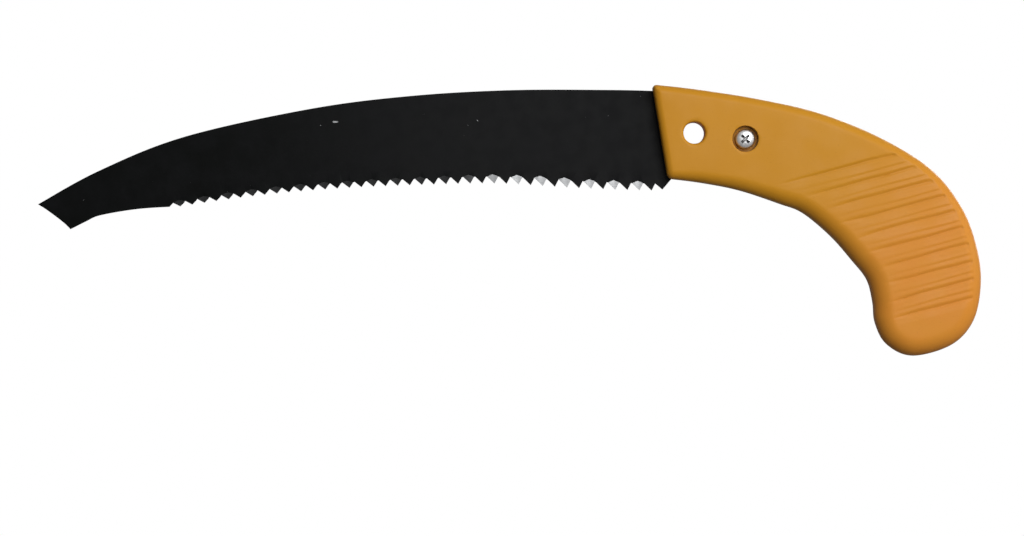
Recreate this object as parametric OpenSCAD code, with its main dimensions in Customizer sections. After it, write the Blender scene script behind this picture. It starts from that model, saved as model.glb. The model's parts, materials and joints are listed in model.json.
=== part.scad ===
// Pruning saw: a curved, toothed blade that swings on one screw in a ribbed pistol grip.
//
// The frame: +X runs from the blade's tip towards the butt of the grip, +Z from the teeth
// towards the blade's back, and Y through the thickness. The origin is the centre of the
// hang hole, halfway through the blade. The screw's head faces -Y.
//
// Every part below is drawn flat on the pivot: x along X, y along Z, z towards -Y, with
// the pivot axis at x = y = 0. upright() then turns it into the frame.

/* [Blade] */
// Thickness of the blade's steel
blade_t = 1.4; // [1:0.1:1.8]
// Distance between neighbouring tooth tips
tooth_pitch = 5.8; // [4.5:0.1:8]
// Depth of the teeth next to the handle
tooth_depth_heel = 3.4; // [2:0.1:3.6]
// Depth of the teeth nearest the tip
tooth_depth_tip = 1.7; // [1:0.1:2.5]

/* [Handle] */
// Thickness of the handle over both shells
handle_t = 24; // [23:1:28]
// Thickness of the shells' walls
wall = 3; // [2.8:0.1:3.5]
// Rounding of the handle's edges at the blade
edge_r_front = 4; // [2:0.5:5]
// Rounding of the handle's edges at the grip
edge_r_grip = 7; // [5.5:0.5:7.5]
// Radius of the hang hole
hang_hole_r = 5.2; // [4:0.1:5.4]

/* [Ribbed grip] */
// Number of grooves across the grip
groove_count = 10; // [6:1:10]
// Distance between neighbouring grooves
groove_pitch = 8.44; // [7:0.1:9]
// Depth of a groove
groove_depth = 1.1; // [0.6:0.1:1.4]
// Angle of the grooves to the X axis
groove_angle = 15.1; // [10:0.5:20]

/* [Pivot] */
// How far the blade swings down from its working position
swing_angle = 100; // [80:1:100]
// Radius of the sleeve nut's barrel, which is the pivot shaft
pivot_r = 4; // [3.5:0.1:4.2]
// Radius of the screw's shank
screw_r = 2.4; // [2:0.1:2.5]
// Radius of the screw's head
screw_head_r = 4.75; // [4.5:0.05:5]

/* [Hidden] */
$fn = 64;

half_t = handle_t / 2;
tiny = 0.01;
running_gap = 0.06;

// --- Curves -----------------------------------------------------------------------------

function spline_point(a, b, c, d, t) = 0.5 * (2 * b + (c - a) * t
    + (2 * a - 5 * b + 4 * c - d) * t * t + (3 * b - a - 3 * c + d) * t * t * t);

// A smooth curve through points. The points before and after it set the slopes at its ends.
function spline(points, steps, before, after) = let(
    last = len(points) - 1, padded = concat([before], points, [after]))
    concat([for (i = [0 : last - 1], k = [0 : steps - 1])
        spline_point(padded[i], padded[i + 1], padded[i + 2], padded[i + 3], k / steps)],
        [points[last]]);

// The height of a curve at x, where its points run in order of x.
function height_at(curve, x) = lookup(x, curve);
function arc(r, from, to, steps) = [for (k = [0 : steps])
    let(a = from + (to - from) * k / steps) r * [cos(a), sin(a)]];
function unit(v) = v / norm(v);
function turned(v, a) = [v.x * cos(a) - v.y * sin(a), v.x * sin(a) + v.y * cos(a)];

// --- Blade ------------------------------------------------------------------------------

tip = [-339.1, -31.2];
hook = [-323.5, -43.1];
back_line = spline([tip, [-309.4, -14.9], [-268.6, 1.3], [-208.6, 14.6], [-160.6, 20.8],
    [-112.6, 23.6], [-64.6, 23.7], [-42, 23.2]], 6, [-352, -39], [-20, 22.5]);
tooth_line = spline([[-271.5, -32.3], [-232.6, -26.9], [-191.3, -23.4], [-144.7, -21.6],
    [-115.9, -21.3], [-80.4, -23.4], [-44.6, -24.6]], 6, [-300, -37], [-20, -24]);
// The plain stretch between the teeth and the hook, then the hollow end up to the tip.
throat = spline([[-276, -32.4], [-292.6, -33.6], [-309.4, -36.5], [-316.1, -39.4], hook], 4,
    [-260, -32], [-328, -45]);
hollow_end = spline([hook, [-328.6, -38.5], tip], 4, [-318, -49], [-350, -27]);

tooth_first_x = tooth_line[0].x;
tooth_last_x = tooth_line[len(tooth_line) - 1].x;
tooth_count = floor((tooth_last_x - tooth_first_x) / tooth_pitch) + 1;
tooth_face = 0.3;
gullet_flat = 0.1;

function tooth_depth(x) = tooth_depth_tip + (tooth_depth_heel - tooth_depth_tip)
    * min(1, (x - tooth_first_x) / (0.7 * (tooth_last_x - tooth_first_x)));

// Tips and gullets from the handle towards the tip. The steep side of a tooth faces the handle.
teeth = [for (i = [0 : tooth_count - 1]) let(x = tooth_last_x - i * tooth_pitch,
    z = height_at(tooth_line, x), deep = tooth_depth(x))
    each [[x + tooth_face * tooth_pitch, z + deep], [x, z],
        [x - (1 - tooth_face - gullet_flat) * tooth_pitch, z + deep]]];

tang_r = 11;
stop_nose_r = 15.3;
stop_pin_r = 2;
heel = [-39.4, -24.1];
heel_top = [-34.8, -18.7];
tang_top = back_line[len(back_line) - 1];

// The angle at which a line from p touches the tang's round end, on the side given.
function touch_angle(p, side) = atan2(p.y, p.x) - side * acos(tang_r / norm(p));
tang_top_angle = touch_angle(tang_top, 1);
tang_low_angle = touch_angle(heel_top, -1);

// The stop pin rests on the tang's upper edge, and the nose reaches it after the full swing.
stop_pin_ahead = 6.4;
stop_slack = 0.5;
nose_width = 42;
stop_pin_at = turned([tang_r + stop_pin_r + running_gap, stop_pin_ahead], tang_top_angle);
nose_lead = atan2(stop_pin_at.y, stop_pin_at.x) - swing_angle
    - asin((stop_pin_r + running_gap) / norm(stop_pin_at)) - stop_slack;
nose_trail = nose_lead - nose_width;

tang = concat(arc(tang_r, tang_top_angle, nose_lead, 10), arc(stop_nose_r, nose_lead, nose_trail, 5),
    arc(tang_r, nose_trail, tang_low_angle, 3), [heel_top, heel]);
hang_hole_at = [-24.4, 2.9];

module blade() {
    color([0.09, 0.09, 0.1])
    upright()
    translate([0, 0, -blade_t / 2])
    difference() {
        linear_extrude(blade_t)
            polygon(concat(back_line, tang, teeth, throat, [for (k = [1 : 7]) hollow_end[k]]));
        translate([0, 0, -1]) cylinder(r = pivot_r + running_gap, h = blade_t + 2);
        translate([hang_hole_at.x, hang_hole_at.y, -1]) cylinder(r = hang_hole_r, h = blade_t + 2);
    }
}

// --- Handle outline ---------------------------------------------------------------------

// The back of the handle and its underside have one point each per station, so that the line
// between the two crosses the handle. They meet at the lowest point of the butt.
station_steps = 5;
butt = [80.4, -103.8];
outer_points = [[-44.4, 26.1], [-21.4, 23.5], [7.4, 18.9], [36.2, 12.2], [65, 0.5],
    [89, -14.4], [103.6, -32.4], [111, -51.5], [113.1, -69], [109.6, -86.9], [99, -98.6], butt];
inner_points = [[-37, -18.8], [-20, -21], [-2.2, -24.6], [17, -31], [28, -35.4],
    [41.2, -46.4], [51.4, -58], [58.6, -67.4], [61.4, -78], [62.6, -88], [68.1, -98.2], butt];
outer = spline(outer_points, station_steps, [-70, 28.5], inner_points[10]);
inner = spline(inner_points, station_steps, [-50, -17.5], outer_points[10]);
last_station = len(outer) - 1;
outline = concat(outer, [for (j = [last_station - 1 : -1 : 0]) inner[j]]);
outline_n = len(outline);

function station_of(i) = i <= last_station ? i : outline_n - 1 - i;
function edge_normal(i) = let(a = outline[(i + outline_n) % outline_n],
    b = outline[(i + 1) % outline_n], d = unit(b - a)) [d.y, -d.x];
// Moves along this vector, times a distance, keep that distance from both edges at point i.
function inward(i) = let(a = edge_normal(i - 1), b = edge_normal(i)) (a + b) / (1 + a * b);
function inset_point(i, d) = outline[i] + inward(i) * d;
function inset_station(j, d, side) = inset_point(side == 0 ? j : outline_n - 1 - j, d);

// The part of the handle from one station to another, held clear of its two edges.
function band(from, to, d_outer, d_inner) = concat(
    [for (j = [from : to]) inset_station(j, d_outer, 0)],
    [for (j = [to : -1 : from]) if (j < last_station) inset_station(j, d_inner, 1)]);

function edge_r(i) = let(s = min(1, station_of(i) / 24), smooth = s * s * (3 - 2 * s))
    edge_r_front + (edge_r_grip - edge_r_front) * smooth;

// --- Handle shells ----------------------------------------------------------------------

edge_steps = 4;
layers = edge_steps + 2;

// Half of the handle: flat on the split plane, with its outer edges rounded.
module handle_half() {
    points = [for (layer = [0 : layers - 1], i = [0 : outline_n - 1])
        let(a = max(0, layer - 1) * 90 / edge_steps, r = edge_r(i),
            p = inset_point(i, r * (1 - cos(a))))
        [p.x, p.y, layer == 0 ? 0 : half_t - r * (1 - sin(a))]];
    top = (layers - 1) * outline_n;
    sides = [for (layer = [0 : layers - 2], i = [0 : outline_n - 1])
        let(a = layer * outline_n + i, b = layer * outline_n + (i + 1) % outline_n)
        each [[a, b + outline_n, a + outline_n], [a, b, b + outline_n]]];
    caps = [for (j = [0 : last_station - 1]) let(far = outline_n - 1 - j)
        each concat([[j, far, j + 1], [top + j, top + j + 1, top + far]],
            j + 1 < far - 1 ? [[j + 1, far, far - 1], [top + j + 1, top + far - 1, top + far]] : [])];
    polyhedron(points, concat(sides, caps));
}

grip_screws_at = [[42, -12], [80, -44], [87, -84]];
grip_screw_r = 1.45;
grip_screw_head_r = 3.2;
grip_screw_seat = -7;
slot_half = blade_t / 2 + 0.3;
boss_r = 4.4;
pivot_boss_r = 9.5;
hang_boss_wall = 2.6;
rib_t = 1.8;
rib_stations = [5, 17, 23, 29, 34, 39, 44, 49];
first_hollow_station = 1;

// A wall across the handle at one station.
module rib(j) {
    d = inner[j] - outer[j];
    translate([outer[j].x, outer[j].y, -tiny])
        rotate(atan2(d.y, d.x))
            translate([0, -rib_t / 2, 0]) cube([norm(d), rib_t, handle_t]);
}

// What the moulding leaves standing inside a shell: ribs, and bosses for the metal parts.
module standing_inside() {
    for (j = rib_stations) rib(j);
    translate([0, 0, -tiny]) {
        cylinder(r = pivot_boss_r, h = handle_t);
        translate([hang_hole_at.x, hang_hole_at.y, 0])
            cylinder(r = hang_hole_r + hang_boss_wall, h = handle_t);
        for (p = concat([stop_pin_at], grip_screws_at))
            translate([p.x, p.y, 0]) cylinder(r = boss_r, h = handle_t);
    }
}

// The space that the blade needs on one side of the split plane, from working to swung down.
// Its rear edge follows the tang's lower edge and the heel at the end of the swing.
module blade_slot() {
    roof_gap = 0.4;
    rear_gap = 1.5;
    reach = 70;
    roof_rear = turned([tang_r + roof_gap, 0], tang_top_angle);
    roof_front = turned([tang_r + roof_gap, reach], tang_top_angle);
    rear_top = turned([tang_r + rear_gap, 0], tang_low_angle + swing_angle);
    rear = [for (p = [heel_top, heel]) turned(p, swing_angle) + [rear_gap, rear_gap]];
    translate([0, 0, -1]) linear_extrude(slot_half + 1) {
        polygon(concat([roof_front, roof_rear, rear_top], rear, [[rear[1].x, -reach], [-reach, -reach]]));
        circle(r = stop_nose_r + roof_gap);
    }
}

groove_start = [49, -13.3];
groove_first_station = 18;
groove_from_back = 5;
groove_from_inside = 11;

// V-grooves across the grip. They stop short of its rounded edges.
module grooves() {
    reach = 60;
    v_profile = [[-groove_depth, 0.1], [0, -groove_depth], [groove_depth, 0.1]];
    intersection() {
        translate([0, 0, half_t - groove_depth - 1]) linear_extrude(groove_depth + 2)
            polygon(band(groove_first_station, last_station, groove_from_back, groove_from_inside));
        for (k = [0 : groove_count - 1])
            translate([groove_start.x, groove_start.y, half_t])
                rotate(groove_angle)
                    translate([-reach, -k * groove_pitch, 0])
                        rotate([90, 0, 90]) linear_extrude(2 * reach) polygon(v_profile);
    }
}

module chamfered_hole(r, chamfer) {
    translate([0, 0, -1]) cylinder(r = r, h = handle_t);
    translate([0, 0, half_t - chamfer]) cylinder(r1 = r, r2 = r + chamfer + 0.1, h = chamfer + 0.1);
}

washer_pocket = 0.25;
hang_chamfer = 0.8;
seat_gap = 0.03;

// What both shells share, drawn with the outside of the shell towards +z.
module shell_body() {
    difference() {
        handle_half();
        difference() {
            translate([0, 0, -1]) linear_extrude(half_t - wall + 1)
                polygon(band(first_hollow_station, last_station, wall, wall));
            standing_inside();
        }
        blade_slot();
        grooves();
        translate([hang_hole_at.x, hang_hole_at.y, 0]) chamfered_hole(hang_hole_r, hang_chamfer);
        translate([0, 0, -1]) cylinder(r = pivot_r + seat_gap, h = handle_t);
        translate([0, 0, -1]) cylinder(r = washer_r + 0.2, h = slot_half + washer_pocket + 1);
        translate([stop_pin_at.x, stop_pin_at.y, -1])
            cylinder(r = stop_pin_r + seat_gap, h = stop_pin_half + 1.1);
    }
}

head_counterbore_r = screw_head_r + 1.5;
head_seat = half_t - 4.6;
nut_across_flats = 13;
nut_flange_t = 3;
nut_seat = half_t - 3.6;

module front_handle_shell() {
    color([0.83, 0.55, 0.13])
    upright()
    difference() {
        shell_body();
        translate([0, 0, head_seat]) cylinder(r = head_counterbore_r, h = handle_t);
        for (p = grip_screws_at) translate([p.x, p.y, -1]) cylinder(r = grip_screw_r + 0.04, h = 10.4);
    }
}

module back_handle_shell() {
    color([0.83, 0.55, 0.13])
    upright()
    mirror([0, 0, 1])
    difference() {
        shell_body();
        translate([0, 0, nut_seat])
            cylinder(r = (nut_across_flats / 2 + 0.1) / cos(30), h = handle_t, $fn = 6);
        for (p = grip_screws_at) translate([p.x, p.y, 0]) {
            translate([0, 0, -1]) cylinder(r = grip_screw_r + 0.35, h = handle_t);
            translate([0, 0, -grip_screw_seat]) cylinder(r = grip_screw_head_r + 0.5, h = handle_t);
        }
    }
}

// --- Pivot ------------------------------------------------------------------------------

lock_washer_t = 1.2;
screw_head_h = 2.8;
screw_length = 15.6;
screw_lead = 0.6;
head_base = head_seat + lock_washer_t;
recess_depth = 1.9;
recess_width = 1.15;
recess_span = 5.2;

// A cross recess whose arms narrow towards its floor.
module cross_recess(span, width, depth) {
    for (a = [45, 135]) rotate(a)
        translate([0, 0, -depth]) rotate([90, 0, 0])
            translate([0, 0, -width / 2]) linear_extrude(width)
                polygon([[-span * 0.22, 0], [span * 0.22, 0], [span / 2, depth + 0.5],
                    [-span / 2, depth + 0.5]]);
}

// The head's profile: straight side, then a low dome.
module pan_head(r, h) {
    dome = h * 0.55;
    rotate_extrude()
        polygon(concat([[0, 0], [r, 0], [r, h - dome]],
            [for (a = [15 : 15 : 90]) [r * cos(a), h - dome + dome * sin(a)]]));
}

module pivot_screw() {
    color([0.78, 0.78, 0.8])
    upright()
    difference() {
        union() {
            translate([0, 0, head_base]) pan_head(screw_head_r, screw_head_h);
            translate([0, 0, head_base - screw_length]) cylinder(r = screw_r, h = screw_length + tiny);
            translate([0, 0, head_base - screw_length - screw_lead])
                cylinder(r1 = screw_r - screw_lead, r2 = screw_r, h = screw_lead);
        }
        translate([0, 0, head_base + screw_head_h]) cross_recess(recess_span, recess_width, recess_depth);
    }
}

// A split spring washer: a flat ring with a slanting cut through one side.
module screw_lock_washer() {
    ring_in = screw_r + 0.15;
    ring_out = screw_head_r - 0.25;
    color([0.6, 0.6, 0.63])
    upright()
    translate([0, 0, head_seat])
    difference() {
        cylinder(r = ring_out, h = lock_washer_t);
        translate([0, 0, -1]) cylinder(r = ring_in, h = lock_washer_t + 2);
        translate([ring_in - 1, 0, lock_washer_t / 2]) rotate([30, 0, 0])
            translate([0, -0.3, -3]) cube([ring_out, 0.6, 6]);
    }
}

module pivot_sleeve_nut() {
    barrel_top = head_seat - 0.4;
    bore_floor = -(nut_seat + 0.6);
    color([0.72, 0.72, 0.74])
    upright()
    difference() {
        union() {
            translate([0, 0, -nut_seat]) cylinder(r = pivot_r, h = nut_seat + barrel_top);
            translate([0, 0, -nut_seat - nut_flange_t])
                cylinder(r = nut_across_flats / 2 / cos(30), h = nut_flange_t, $fn = 6);
        }
        translate([0, 0, bore_floor]) cylinder(r = screw_r + running_gap, h = handle_t);
    }
}

washer_r = 7.5;
washer_t = 0.5;

module friction_washer() {
    color([0.8, 0.8, 0.76])
    upright()
    difference() {
        translate([0, 0, blade_t / 2 + 0.02]) cylinder(r = washer_r, h = washer_t);
        cylinder(r = pivot_r + 0.1, h = handle_t);
    }
}

module front_friction_washer() { friction_washer(); }
module back_friction_washer() { mirror([0, 1, 0]) friction_washer(); }

stop_pin_half = 8.5;

module stop_pin() {
    color([0.7, 0.7, 0.72])
    upright()
    translate([stop_pin_at.x, stop_pin_at.y, -stop_pin_half])
        cylinder(r = stop_pin_r, h = 2 * stop_pin_half);
}

// --- Grip screws ------------------------------------------------------------------------

grip_screw_length = 16;
grip_screw_head_h = 2.2;

// A self-tapping screw, driven from the back shell into the front one.
module grip_screw(p) {
    color([0.55, 0.55, 0.57])
    upright()
    translate([p.x, p.y, grip_screw_seat])
    difference() {
        union() {
            mirror([0, 0, 1]) pan_head(grip_screw_head_r, grip_screw_head_h);
            translate([0, 0, -tiny]) cylinder(r = grip_screw_r, h = grip_screw_length - 1.5);
            translate([0, 0, grip_screw_length - 1.5 - 2 * tiny])
                cylinder(r1 = grip_screw_r, r2 = 0.3, h = 1.5);
        }
        translate([0, 0, -grip_screw_head_h]) mirror([0, 0, 1]) cross_recess(3.6, 0.8, 1.3);
    }
}

module upper_grip_screw() { grip_screw(grip_screws_at[0]); }
module middle_grip_screw() { grip_screw(grip_screws_at[1]); }
module lower_grip_screw() { grip_screw(grip_screws_at[2]); }

// Turns a flat drawing upright: x to +X, y to +Z, z to -Y, with the hang hole at the origin.
module upright() { translate([-hang_hole_at.x, 0, -hang_hole_at.y]) rotate([90, 0, 0]) children(); }

blade();
front_handle_shell();
back_handle_shell();
pivot_screw();
screw_lock_washer();
pivot_sleeve_nut();
front_friction_washer();
back_friction_washer();
stop_pin();
upper_grip_screw();
middle_grip_screw();
lower_grip_screw();
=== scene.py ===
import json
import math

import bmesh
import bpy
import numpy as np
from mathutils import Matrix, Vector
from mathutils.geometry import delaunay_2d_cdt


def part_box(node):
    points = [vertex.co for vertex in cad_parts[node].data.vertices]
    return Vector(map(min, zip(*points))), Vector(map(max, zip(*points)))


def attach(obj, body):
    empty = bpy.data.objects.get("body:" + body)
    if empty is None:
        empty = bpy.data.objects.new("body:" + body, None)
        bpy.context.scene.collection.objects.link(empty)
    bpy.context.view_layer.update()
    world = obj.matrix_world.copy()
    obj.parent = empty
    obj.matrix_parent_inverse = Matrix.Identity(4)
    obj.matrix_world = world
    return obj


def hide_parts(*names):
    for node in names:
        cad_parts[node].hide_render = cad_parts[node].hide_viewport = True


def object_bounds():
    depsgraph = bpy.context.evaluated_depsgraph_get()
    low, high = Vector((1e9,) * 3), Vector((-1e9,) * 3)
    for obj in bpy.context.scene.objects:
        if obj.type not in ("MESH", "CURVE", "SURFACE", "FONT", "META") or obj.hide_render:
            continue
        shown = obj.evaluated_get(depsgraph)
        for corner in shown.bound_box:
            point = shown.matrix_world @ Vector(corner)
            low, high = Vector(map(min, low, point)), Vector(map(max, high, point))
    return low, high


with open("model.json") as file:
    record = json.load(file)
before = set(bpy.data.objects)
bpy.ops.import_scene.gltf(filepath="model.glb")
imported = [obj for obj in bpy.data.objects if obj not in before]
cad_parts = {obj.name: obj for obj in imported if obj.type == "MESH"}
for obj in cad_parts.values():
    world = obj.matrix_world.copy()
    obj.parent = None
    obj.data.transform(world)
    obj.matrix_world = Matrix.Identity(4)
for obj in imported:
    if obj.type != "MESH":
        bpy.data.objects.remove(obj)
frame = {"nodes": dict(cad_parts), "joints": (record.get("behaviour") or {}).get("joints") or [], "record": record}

# Looks for the pruning saw. The outlines, holes and fasteners are read from the CAD frame, and
# the visible pieces are built over them: smooth moulded shells with a ribbed grip, a toothed
# blade with ground bevels, and threaded screws.
#
# Shapes are drawn flat on the pivot, in millimetres: x along +X, y along +Z, and z towards the
# side of the screw's head, which is -Y. to_frame() puts them in place, in metres.

CAD_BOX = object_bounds()
MM = 0.001
JOINTS = {joint["name"]: joint for joint in frame["joints"]}
PIVOT = np.array(JOINTS["blade_swing"]["pos_m"])


# --- Between the drawing plane and the frame ------------------------------------------------

def to_frame(points):
    p = np.asarray(points, float).reshape(-1, 3)
    return PIVOT + MM * np.stack([p[:, 0], -p[:, 2], p[:, 1]], axis=1)


def from_frame(points):
    p = (np.asarray(points, float).reshape(-1, 3) - PIVOT) / MM
    return np.stack([p[:, 0], p[:, 2], -p[:, 1]], axis=1)


def node_box(node):
    """Lowest and highest corner of a CAD node, drawn flat on the pivot."""
    corners = from_frame([tuple(corner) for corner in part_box(node)])
    return corners.min(axis=0), corners.max(axis=0)


def node_centre(node):
    low, high = node_box(node)
    return tuple((low + high)[:2] / 2)


HALF_T = node_box("front_handle_shell")[1][2]
BLADE_T = float(np.ptp([corner[2] for corner in node_box("blade")]))
SWING = JOINTS["blade_swing"]["range_deg"][1]
HANG_HOLE_AT = tuple(from_frame([(0, 0, 0)])[0][:2])
MOUNTS = {mount["name"]: mount for mount in frame["record"]["mounts"]}
HANG_HOLE_R = MOUNTS["hang_hole"]["dims"]["r_mm"]


# --- Curves and loops -----------------------------------------------------------------------

def unit(v):
    v = np.asarray(v, float)
    return v / np.linalg.norm(v)


def turned(point, degrees):
    c, s = math.cos(math.radians(degrees)), math.sin(math.radians(degrees))
    return np.array([point[0] * c - point[1] * s, point[0] * s + point[1] * c])


def smooth_step(value, start, end):
    t = np.clip((value - start) / (end - start), 0, 1)
    return t * t * (3 - 2 * t)


def curve_through(points, spacing):
    """A smooth curve through points that may lie unevenly, without its last point."""
    padded = np.vstack([2 * points[0] - points[1], points, 2 * points[-1] - points[-2]])
    steps = np.diff(padded, axis=0)
    lengths = np.linalg.norm(steps, axis=1)[:, None]
    slopes = steps / lengths
    slopes = (slopes[1:] * lengths[:-1] + slopes[:-1] * lengths[1:]) / (lengths[1:] + lengths[:-1])
    made = []
    for k, (start, end) in enumerate(zip(points, points[1:])):
        length = lengths[k + 1]
        count = max(1, round(float(length[0]) / spacing))
        for t in np.arange(count) / count:
            bend = t * (1 - t) * length * ((1 - t) * slopes[k] - t * slopes[k + 1])
            made.append(start + (end - start) * t * t * (3 - 2 * t) + bend)
    return made


def turns(loop):
    """How far the loop turns left at each point, in degrees."""
    back = loop - np.roll(loop, 1, axis=0)
    ahead = np.roll(loop, -1, axis=0) - loop
    cross = back[:, 0] * ahead[:, 1] - back[:, 1] * ahead[:, 0]
    return np.degrees(np.arctan2(cross, (back * ahead).sum(axis=1)))


def redrawn(loop, corner_angle, spacing, straight_steps):
    """The loop with its smooth stretches redrawn as fine curves. Its corners stay, and come first in the order of the stretches after them."""
    corners = np.flatnonzero(np.abs(turns(loop)) > corner_angle)
    loop = np.roll(loop, -corners[0], axis=0)
    corners = list(corners - corners[0]) + [len(loop)]
    loop = np.vstack([loop, loop[:1]])
    points, corner_places = [], []
    for start, end in zip(corners, corners[1:]):
        run = loop[start:end + 1]
        corner_places.append(len(points))
        if len(run) > 3:
            points.extend(curve_through(run, spacing))
        else:
            for a, b in zip(run, run[1:]):
                points.extend(a + (b - a) * k / straight_steps for k in range(straight_steps))
    return np.array(points), corner_places


def inward(loop):
    """For each point, the move that goes 1 mm in from both edges beside it."""
    d = np.roll(loop, -1, axis=0) - loop
    d /= np.linalg.norm(d, axis=1)[:, None]
    ahead = np.stack([-d[:, 1], d[:, 0]], axis=1)
    behind = np.roll(ahead, 1, axis=0)
    return (ahead + behind) / (1 + (ahead * behind).sum(axis=1))[:, None]


def distance_to(points, line):
    """Distance from each point to a polyline, and how far along it, in segments, the nearest place is."""
    a, d = line[:-1], np.diff(line, axis=0)
    best = np.full(len(points), np.inf)
    place = np.zeros(len(points))
    lengths = (d * d).sum(axis=1)
    for first in range(0, len(points), 4000):
        p = points[first:first + 4000, None, :]
        t = np.clip(((p - a) * d).sum(axis=2) / lengths, 0, 1)
        gap = np.linalg.norm(p - a - t[:, :, None] * d, axis=2)
        nearest = gap.argmin(axis=1)
        rows = np.arange(len(nearest))
        best[first:first + 4000] = gap[rows, nearest]
        place[first:first + 4000] = nearest + t[rows, nearest]
    return best, place


def inside(points, loop):
    """Whether each point is inside the loop, by counting the edges a ray to the right crosses."""
    x, y = points[:, 0], points[:, 1]
    found = np.zeros(len(points), bool)
    for (x0, y0), (x1, y1) in zip(loop, np.roll(loop, -1, axis=0)):
        if y0 != y1:
            crosses = (y0 > y) != (y1 > y)
            found ^= crosses & (x < (x1 - x0) * (y - y0) / (y1 - y0) + x0)
    return found


def rim_loops(node, least_tilt):
    """Loops round those faces of a CAD node that lean to the screw's side, longest first.
    Outlines run anticlockwise and holes run clockwise."""
    mesh = frame["nodes"][node].data
    keys = [tuple(p) for p in np.round(from_frame([v.co for v in mesh.vertices]), 3)]
    edges = set()
    for face in mesh.polygons:
        if -face.normal.y > least_tilt:
            corners = [keys[i] for i in face.vertices]
            edges.update(zip(corners, corners[1:] + corners[:1]))
    following = {a: b for a, b in edges if a != b and (b, a) not in edges}
    loops = []
    while following:
        here = next(iter(sorted(following)))
        loop = []
        while here in following:
            loop.append(here[:2])
            here = following.pop(here)
        loops.append(np.array(loop))
    return sorted(loops, key=lambda loop: -np.ptp(loop, axis=0).sum())


# --- Meshes ---------------------------------------------------------------------------------

WELD_REACH = 1e-6


def mesh_object(name, points, faces):
    data = bpy.data.meshes.new(name)
    data.from_pydata(to_frame(points).tolist(), [], faces)
    made = bmesh.new()
    made.from_mesh(data)
    bmesh.ops.recalc_face_normals(made, faces=made.faces)
    made.to_mesh(data)
    made.free()
    obj = bpy.data.objects.new(name, data)
    bpy.context.scene.collection.objects.link(obj)
    return obj


def skin(name, rings, poles=(), closed=False):
    """Rings of equal length joined by faces. The ends are capped, run to poles, or are joined."""
    count = len(rings[0])
    points = [p for ring in rings for p in ring]
    pairs = list(zip(range(len(rings)), range(1, len(rings))))
    if closed:
        pairs.append((len(rings) - 1, 0))
    faces = [(a * count + k, a * count + (k + 1) % count, b * count + (k + 1) % count, b * count + k)
             for a, b in pairs for k in range(count)]
    ends = [0, (len(rings) - 1) * count]
    if poles:
        for pole, start in zip(poles, ends):
            faces += [(len(points), start + k, start + (k + 1) % count) for k in range(count)]
            points.append(pole)
    elif not closed:
        faces += [tuple(range(start, start + count)) for start in ends]
    return mesh_object(name, points, faces)


def lathe(name, profile, at=(0, 0), steps=96, radius=None):
    """A turned solid from (radius, z) pairs. A profile that starts and ends on the axis is closed
    there, and any other is a ring. radius(r, z, angle) may change the radius round the part."""
    angles = [2 * math.pi * k / steps for k in range(steps)]
    rings = []
    for r, z in profile:
        if r > 0:
            radii = [radius(r, z, a) if radius else r for a in angles]
            rings.append([(at[0] + s * math.cos(a), at[1] + s * math.sin(a), z)
                          for s, a in zip(radii, angles)])
    on_axis = profile[0][0] == 0
    poles = [(*at, profile[0][1]), (*at, profile[-1][1])] if on_axis else ()
    return skin(name, rings, poles, closed=not on_axis)


def prism(name, polygon, low, high):
    return skin(name, [[(x, y, z) for x, y in polygon] for z in (low, high)])


def combine(obj, tool, operation="DIFFERENCE"):
    """Changes obj by a boolean with tool, which is then deleted."""
    modifier = obj.modifiers.new("combine", "BOOLEAN")
    modifier.solver = "MANIFOLD"
    modifier.operation = operation
    modifier.object = tool
    graph = bpy.context.evaluated_depsgraph_get()
    made = bpy.data.meshes.new_from_object(obj.evaluated_get(graph))
    obj.modifiers.clear()
    obj.data = made
    bpy.data.objects.remove(tool)
    return obj


def weld(obj):
    """Joins points that a boolean left within a micrometre, which takes its slivers away."""
    made = bmesh.new()
    made.from_mesh(obj.data)
    bmesh.ops.remove_doubles(made, verts=made.verts, dist=WELD_REACH)
    made.to_mesh(obj.data)
    made.free()


def finish_piece(obj, body, nodes, slot, material, sharp_angle=32):
    weld(obj)
    obj.data.shade_smooth()
    obj.data.set_sharp_from_angle(angle=math.radians(sharp_angle))
    obj.data.materials.clear()
    obj.data.materials.append(material)
    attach(obj, body)
    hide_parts(*nodes)
    return obj


def triangles_within(points, edges, loops):
    """Triangles over the points that keep the edges and lie inside the loops."""
    flat, _, faces, origins, _, _ = delaunay_2d_cdt(
        [Vector(p) for p in points], edges, [], 0, 1e-5)
    source = [min(o) for o in origins]
    faces = np.array([[source[i] for i in face] for face in faces])
    corners = np.asarray(points)[faces]
    middles = corners.mean(axis=1)
    (ax, ay), (bx, by) = (corners[:, 1] - corners[:, 0]).T, (corners[:, 2] - corners[:, 0]).T
    broad = np.abs(ax * by - ay * bx) > 1e-6
    within = np.zeros(len(faces), bool)
    for loop in loops:
        within ^= inside(middles, loop)
    return faces[within & broad].tolist()


# --- Materials ------------------------------------------------------------------------------

def srgb(*levels):
    """A linear colour from screen levels of 0 to 255."""
    shares = [level / 255 for level in levels]
    return tuple(s / 12.92 if s < 0.04045 else ((s + 0.055) / 1.055) ** 2.4 for s in shares) + (1,)


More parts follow.
